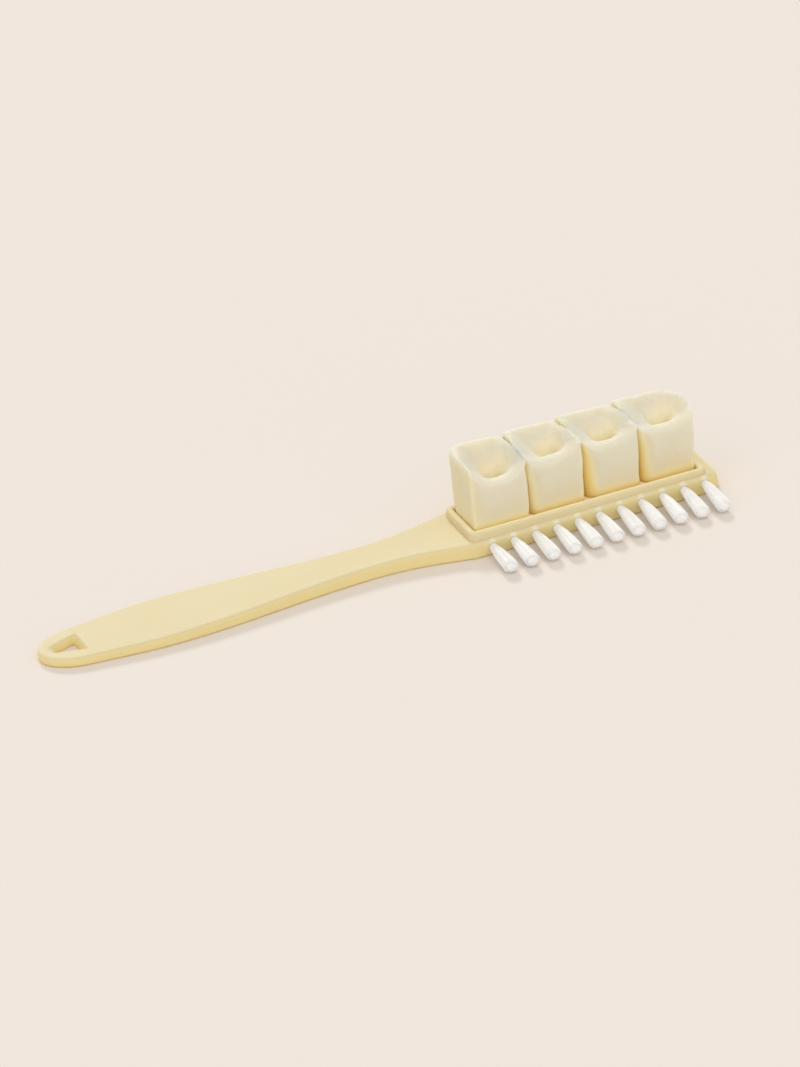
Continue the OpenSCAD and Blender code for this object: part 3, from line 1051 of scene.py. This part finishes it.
def glue_material():
    material, nodes, links, shader = new_material("amber_glue")
    drift = noise_node(nodes, links, scale=300)
    ramp = ramp_node(nodes, links, drift.outputs["Fac"],
                     [(0.3, GLUE_THICK), (0.7, GLUE_COLOUR)])
    links.new(ramp.outputs["Color"], shader.inputs["Base Color"])
    shader.inputs["Roughness"].default_value = 0.3
    return material


def paint_node(node, material):
    """Gives a CAD node its material, in place of the one it was packed with."""
    mesh = frame["nodes"][node].data
    mesh.materials.clear()
    mesh.materials.append(material)


paint_node("glue_bed", glue_material())
print("glue bed painted")

# %% [markdown]
# ## Nylon tufts
# A tuft is a bundle of filaments folded round a metal anchor and pushed into its hole. The
# filaments leave the hole packed together and open outward. Each one is a thin four-sided tube:
# a square, extruded once for each step. It is made once and copied, and every copy is drawn out
# along its own line. The lines start on a sunflower spiral, so none cross. Deep between them a
# plain core stands for the imported middle: without it light is lost in the bundle and white nylon
# turns grey. A faint emission is painted light on top of that: the nylon glows a little, which
# lifts the grey that the bundle still keeps.

# %% Nylon material
# Painted light: a faint glow of the nylon itself
NYLON_PAINTED_GLOW = 0.05
NYLON_COLOUR = (0.96, 0.945, 0.92)
NYLON_DEEP = tuple(0.96 * c for c in NYLON_COLOUR)


def nylon_material():
    material, nodes, links, shader = new_material("white_nylon")
    drift = noise_node(nodes, links, scale=900)
    ramp = ramp_node(nodes, links, drift.outputs["Fac"],
                     [(0.3, NYLON_DEEP), (0.7, NYLON_COLOUR)])
    links.new(ramp.outputs["Color"], shader.inputs["Base Color"])
    shader.inputs["Roughness"].default_value = 0.45
    # Painted glow
    shader.inputs["Emission Color"].default_value = (1, 0.98, 0.96, 1)
    shader.inputs["Emission Strength"].default_value = NYLON_PAINTED_GLOW
    return material


# %% Tufts
FILAMENTS = 220
FILAMENT_R = 0.09 * MM
FILAMENT_TIP_R = 0.14 * MM
TUFT_L = 14.6 * MM
TUFT_TIP_W = 4.7 * MM
TUFT_TIP_H = 3.7 * MM
TUFT_CLEAR = 0.2 * MM
# How much shorter the outermost filaments are, how much any may be by chance, and how far
# inside the head's side they start
DOME = 0.07
RAGGED = 0.03
START_IN = 0.5 * MM
# Along a filament: place, how far it has opened outward, and its thickness over its full one
SPREAD_STEPS = [(0, 0, 1), (0.15, 0.25, 1), (0.35, 0.58, 1), (0.6, 0.85, 1)]
FILAMENT_STEPS = SPREAD_STEPS + [(0.85, 0.98, 1), (0.97, 0.97, 0.9), (1, 0.96, 0.4)]
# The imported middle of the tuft, a little inside the outermost filaments and shorter
CORE_SHARE = 0.9
CORE_STEPS = SPREAD_STEPS + [(0.84, 0.98, 1), (0.91, 0.96, 0.9), (0.955, 0.92, 0.65),
                             (0.97, 0.9, 0.3)]
CORE_SIDES = 20
GOLDEN_ANGLE = math.radians(137.507764)
ROOT_R = HOLE_D / 2 - 0.2 * MM
# The plug behind the filaments: its radius, its length and where its middle is
PLUG_R = HOLE_D / 2 - 0.05 * MM
PLUG_L = 4 * MM
PLUG_IN = 2.4 * MM


def along_tuft(root, seat, length, drop, t, opened):
    """Where a filament that starts at seat, in the unit circle, is at share t of its length."""
    return root + Vector((
        seat.x * (ROOT_R + (TUFT_TIP_W / 2 - ROOT_R) * opened),
        START_IN - (length + START_IN) * t,
        seat.y * (ROOT_R + (TUFT_TIP_H / 2 - ROOT_R) * opened) - drop * t ** 1.5))


def straight_filament():
    """A closed square tube that stands on end, with its rings at the heights 0, 1, 2 and so on.

    The end goes into each extrusion with its edges, or the old end face stays inside the tube.
    """
    bm = bmesh.new()
    bmesh.ops.create_circle(bm, cap_ends=True, segments=4, radius=1)
    end = bm.verts[:] + bm.edges[:] + bm.faces[:]
    for _ in FILAMENT_STEPS[1:]:
        end = bmesh.ops.extrude_face_region(bm, geom=end)["geom"]
        corners = [part for part in end if isinstance(part, bmesh.types.BMVert)]
        bmesh.ops.translate(bm, verts=corners, vec=(0, 0, 1))
    mesh = bpy.data.meshes.new("straight_filament")
    bm.to_mesh(mesh)
    bm.free()
    print("one filament:", len(mesh.polygons), "faces")
    return mesh


def add_filament(bm, straight, root, seat, drop, rng):
    """Copies the straight tube and bends it. Outer ones are shorter, so the tuft ends in a dome."""
    length = TUFT_L * (1 - DOME * seat.length_squared - RAGGED * rng.random())
    turn = Matrix.Rotation(rng.random() * math.pi, 2)
    before = len(bm.verts)
    bm.from_mesh(straight)
    bm.verts.ensure_lookup_table()
    for v in bm.verts[before:]:
        t, opened, thickness = FILAMENT_STEPS[round(v.co.z)]
        r = (FILAMENT_R + (FILAMENT_TIP_R - FILAMENT_R) * t) * thickness
        side = turn @ v.co.xy * r
        v.co = along_tuft(root, seat, length, drop, t, opened) + Vector((side.x, 0, side.y))


def tuft_core(bm, root, drop):
    """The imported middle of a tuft, as a closed skin over rings."""
    turns = [2 * math.pi * k / CORE_SIDES for k in range(CORE_SIDES)]
    rings = []
    for t, opened, thickness in CORE_STEPS:
        seats = [CORE_SHARE * thickness * Vector((math.cos(a), math.sin(a))) for a in turns]
        points = [along_tuft(root, seat, TUFT_L, drop, t, opened) for seat in seats]
        rings.append(new_ring(bm, points))
    bridge_rings(bm, rings)
    close_ring(bm, rings[0])
    close_ring(bm, rings[-1])


def make_tuft(i, straight, material):
    """A tuft with its filaments, its core, and the plug that fills its hole."""
    rng = random.Random(100 + i)
    root = tuft_centre(i)
    drop = max(0, root.z - TUFT_TIP_H / 2 - FILAMENT_TIP_R - TUFT_CLEAR)
    bm = bmesh.new()
    for k in range(FILAMENTS):
        reach = math.sqrt((k + 0.5) / FILAMENTS)
        seat = Vector((reach * math.cos(k * GOLDEN_ANGLE), reach * math.sin(k * GOLDEN_ANGLE)))
        add_filament(bm, straight, root, seat, drop, rng)
    tuft_core(bm, root, drop)
    side_cylinder(bm, i, PLUG_IN, PLUG_R, PLUG_L)
    return finish_piece(f"nylon_tuft_{i:02d}", bm, material, [f"bristle_tuft_{i:02d}"])


nylon = nylon_material()
straight = straight_filament()
tufts = [make_tuft(i, straight, nylon) for i in range(1, TUFTS + 1)]
bpy.data.meshes.remove(straight)
print(len(tufts), "tufts with", len(tufts[0].data.polygons), "faces each")

# %% [markdown]
# ## What casts a shadow
# In the picture the thin handle and the tufts cast a shadow and the tall crepe casts none: it was
# retouched away. Shadow linking does the same here. Only the body and the tufts block the back sun.

# %% Shadow linking
shadow_casters = bpy.data.collections.new("shadow_casters")
for piece in [body, *tufts]:
    shadow_casters.objects.link(piece)
back_sun.light_linking.blocker_collection = shadow_casters

# %% [markdown]
# ## Anchors
# A short piece of flat wire pins each tuft in its hole. It can't be seen on the finished brush,
# but the frame has it, so it gets a plain metal that shows when the part is opened.

# %% Anchor metal
WIRE_LIGHT = (0.62, 0.62, 0.63)
WIRE_DEEP = (0.5, 0.5, 0.5)


def metal_material():
    material, nodes, links, shader = new_material("anchor_wire")
    drift = noise_node(nodes, links, scale=3000)
    ramp = ramp_node(nodes, links, drift.outputs["Fac"],
                     [(0.3, WIRE_DEEP), (0.7, WIRE_LIGHT)])
    links.new(ramp.outputs["Color"], shader.inputs["Base Color"])
    shader.inputs["Metallic"].default_value = 1
    shader.inputs["Roughness"].default_value = 0.35
    return material


metal = metal_material()
for i in range(1, TUFTS + 1):
    paint_node(f"tuft_anchor_{i:02d}", metal)
print(TUFTS, "anchors painted")
